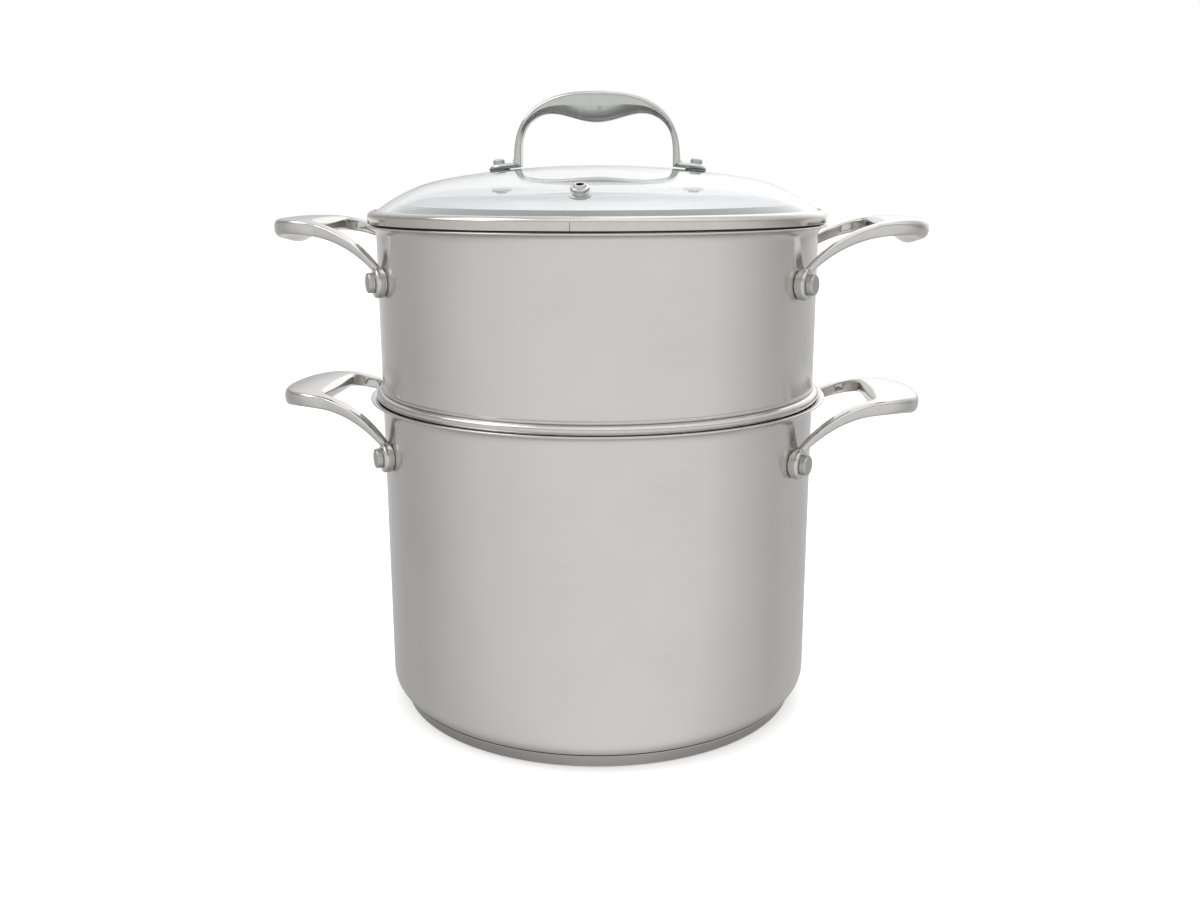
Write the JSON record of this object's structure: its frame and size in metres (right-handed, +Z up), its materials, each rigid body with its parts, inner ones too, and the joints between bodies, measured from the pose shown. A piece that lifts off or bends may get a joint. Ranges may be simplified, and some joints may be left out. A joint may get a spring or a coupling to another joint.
{
  "type": "double boiler",
  "caption": "Stainless steel double boiler: capsule-base stock pot, drop-in upper pot with a shoulder bead, riveted loop handles and a domed glass lid with a steel band.",
  "frame": {"origin": "on the pot's axis, at the flat bottom where it stands on the ground", "axes": "+Z up along the pots' common axis, +X through the middle of the right-hand side handles, -Y towards the front, where the steam vent is"},
  "size_m": [0.3564, 0.2534, 0.3376],
  "materials": {
    "satin_steel": "satin, fine brushing round the axis",
    "polished_steel": "mirror polished stainless steel",
    "rivet_steel": "satin",
    "core_aluminium": "as cast, hidden in the base",
    "glass": "clear tempered glass",
    "clear_silicone": "translucent, matte",
    "grey_silicone": "matte"
  },
  "bodies": {
    "pot": {"pot_body": "satin_steel", "base_core": "core_aluminium", "base_cap": "satin_steel", "pot_handle_left": "polished_steel", "pot_handle_right": "polished_steel", "pot_rivet_left_front": "rivet_steel", "pot_rivet_left_rear": "rivet_steel", "pot_rivet_right_front": "rivet_steel", "pot_rivet_right_rear": "rivet_steel"},
    "insert": {"insert_body": "satin_steel", "insert_handle_left": "polished_steel", "insert_handle_right": "polished_steel", "insert_rivet_left_front": "rivet_steel", "insert_rivet_left_rear": "rivet_steel", "insert_rivet_right_front": "rivet_steel", "insert_rivet_right_rear": "rivet_steel"},
    "lid": {"lid_glass": "glass", "lid_band": "polished_steel", "lid_seal": "clear_silicone", "lid_handle": "polished_steel", "lid_rivet_left": "rivet_steel", "lid_rivet_right": "rivet_steel", "lid_foot_pad_left": "grey_silicone", "lid_foot_pad_right": "grey_silicone", "lid_under_pad_left": "grey_silicone", "lid_under_pad_right": "grey_silicone", "lid_washer_left": "rivet_steel", "lid_washer_right": "rivet_steel", "vent_eyelet": "polished_steel", "vent_washer": "rivet_steel"}
  },
  "joints": [
    {"name": "insert_lift", "type": "slide", "parent": "pot", "child": "insert", "axis": [0, 0, 1], "range_m": [0, 0.1]},
    {"name": "lid_lift", "type": "slide", "parent": "insert", "child": "lid", "axis": [0, 0, 1], "range_m": [0, 0.08]}
  ]
}
